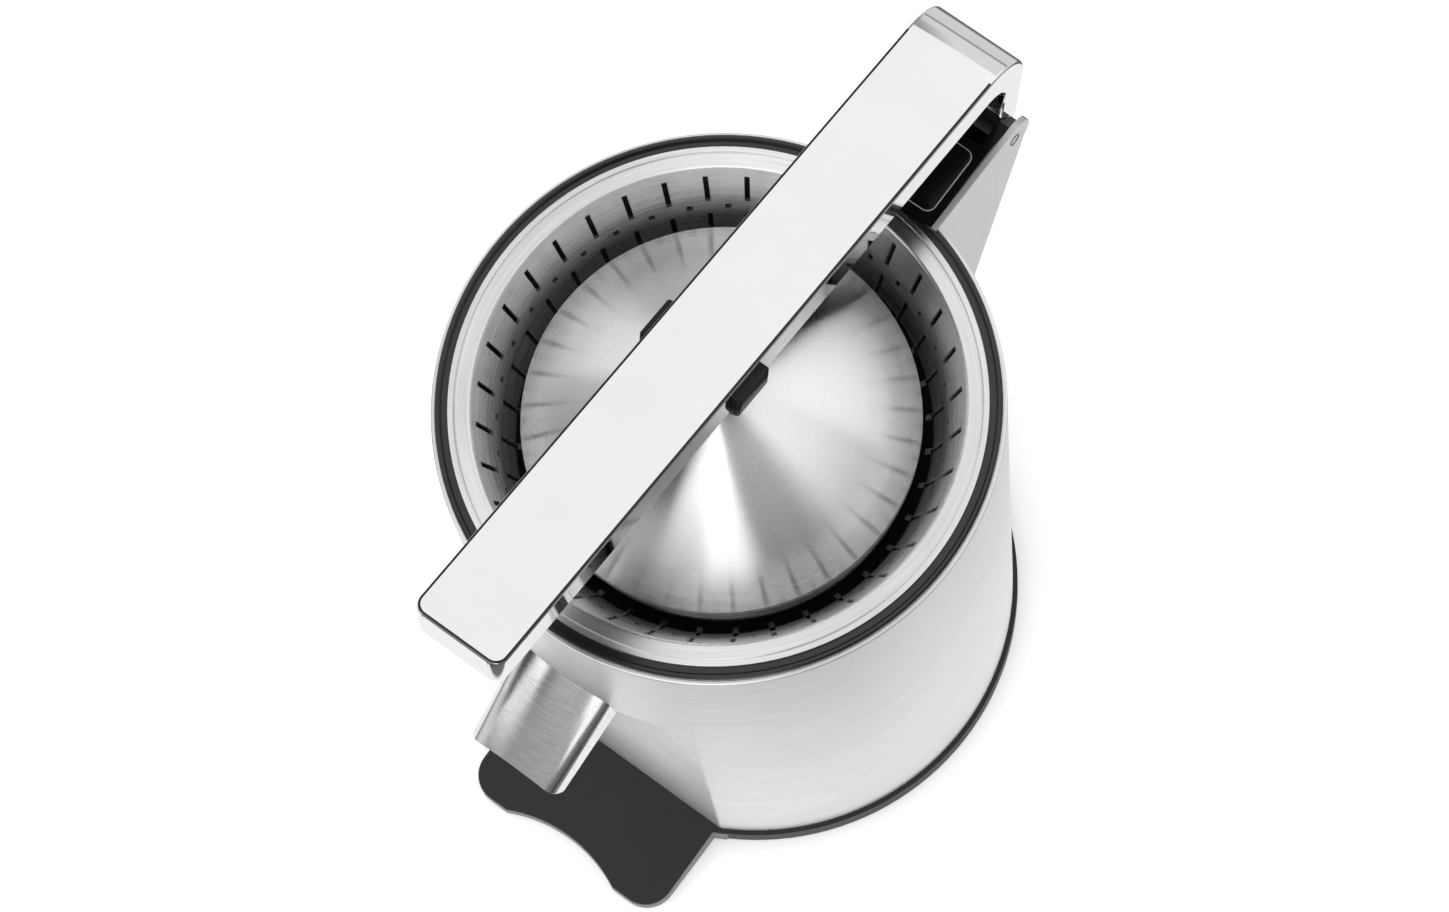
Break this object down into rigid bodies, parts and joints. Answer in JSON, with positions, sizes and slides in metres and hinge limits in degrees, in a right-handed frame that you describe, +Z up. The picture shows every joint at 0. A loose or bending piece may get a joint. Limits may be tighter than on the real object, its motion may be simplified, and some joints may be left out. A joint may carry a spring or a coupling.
{
  "type": "electric lever citrus press",
  "caption": "Electric citrus press: round steel body with a front spout, slotted strainer and reamer, and a hinged chrome lever that lowers a tilting press dome.",
  "frame": {"origin": "on the body's upright axis, in the plane that the pad stands on", "axes": "+Z up along the body's axis, -Y to the front where the spout and the tongue are, +X to the right seen from the front"},
  "size_m": [0.165, 0.2349, 0.2777],
  "materials": {
    "black_plastic": "satin black",
    "grey_plastic": "satin grey",
    "gear_plastic": "natural white",
    "rubber": "matt",
    "brushed_steel": "brushed",
    "turned_steel": "turned in fine rings",
    "chrome": "polished",
    "zinc_steel": "plain",
    "bronze": "plain",
    "plate_aluminium": "plain"
  },
  "bodies": {
    "body": {"base_tray": "black_plastic", "base_pad": "rubber", "casing": "brushed_steel", "base_screws": "zinc_steel", "rim_collar": "black_plastic", "juice_bowl": "grey_plastic", "spout_hood": "brushed_steel", "spout_channel": "black_plastic", "tower_shell": "brushed_steel", "tower_insert": "black_plastic", "hinge_pin": "zinc_steel", "shaft_seal": "rubber", "gear_plate": "plate_aluminium", "plate_posts": "plate_aluminium", "lower_bush": "bronze", "upper_bush": "bronze", "gear_cover": "grey_plastic", "idler_axle": "zinc_steel", "motor_can": "zinc_steel", "motor_screws": "zinc_steel", "cover_screws": "zinc_steel", "spring_seat": "plate_aluminium", "return_spring": "zinc_steel", "start_switch": "grey_plastic", "cable_gland": "black_plastic"},
    "lever": {"arm_shell": "chrome", "arm_liner": "black_plastic", "hinge_bushes": "bronze", "dome_carrier": "black_plastic", "dome_pivot_pin": "zinc_steel"},
    "dome": {"press_dome": "turned_steel", "dome_hub": "grey_plastic", "dome_nut": "zinc_steel"},
    "thrust": {"thrust_plate": "gear_plastic"},
    "drive": {"drive_shaft": "zinc_steel", "output_gear": "gear_plastic"},
    "idler": {"idler_gear": "gear_plastic"},
    "rotor": {"motor_pinion": "bronze"},
    "reamer_cone": {"reamer": "black_plastic"},
    "strainer_insert": {"strainer": "turned_steel"},
    "button": {"switch_button": "gear_plastic"}
  },
  "joints": [
    {"name": "lever_swing", "type": "hinge", "parent": "body", "child": "lever", "pos_m": [0, 0.114, 0.196], "axis": [-1, 0, 0], "range_deg": [0, 80]},
    {"name": "dome_tilt", "type": "hinge", "parent": "lever", "child": "dome", "pos_m": [0, 0, 0.2355], "axis": [1, 0, 0], "range_deg": [-4, 4]},
    {"name": "press_stroke", "type": "slide", "parent": "body", "child": "thrust", "axis": [0, 0, 1], "range_m": [-0.002, 0], "stiffness_N_per_m": 2500, "springref_m": 0.002, "deforming": ["return_spring"]},
    {"name": "drive_spin", "type": "hinge", "parent": "thrust", "child": "drive", "pos_m": [0, 0, 0.1], "axis": [0, 0, 1], "continuous": true},
    {"name": "idler_spin", "type": "hinge", "parent": "body", "child": "idler", "pos_m": [0, 0.035, 0.115], "axis": [0, 0, 1], "continuous": true},
    {"name": "rotor_spin", "type": "hinge", "parent": "body", "child": "rotor", "pos_m": [0.02165, 0.0475, 0.115], "axis": [0, 0, 1], "continuous": true},
    {"name": "strainer_lift", "type": "slide", "parent": "body", "child": "strainer_insert", "axis": [0, 0, 1], "range_m": [0, 0.01]},
    {"name": "reamer_lift", "type": "slide", "parent": "drive", "child": "reamer_cone", "axis": [0, 0, 1], "range_m": [0, 0.01]},
    {"name": "button_slide", "type": "slide", "parent": "body", "child": "button", "axis": [0, 0, 1], "range_m": [-0.002, 0]}
  ],
  "couplings": [
    {"joint": "idler_spin", "follows": "drive_spin", "ratio": -3.6667},
    {"joint": "rotor_spin", "follows": "drive_spin", "ratio": 14.667},
    {"joint": "reamer_lift", "follows": "strainer_lift", "ratio": 1},
    {"joint": "button_slide", "follows": "press_stroke", "ratio": 1}
  ]
}
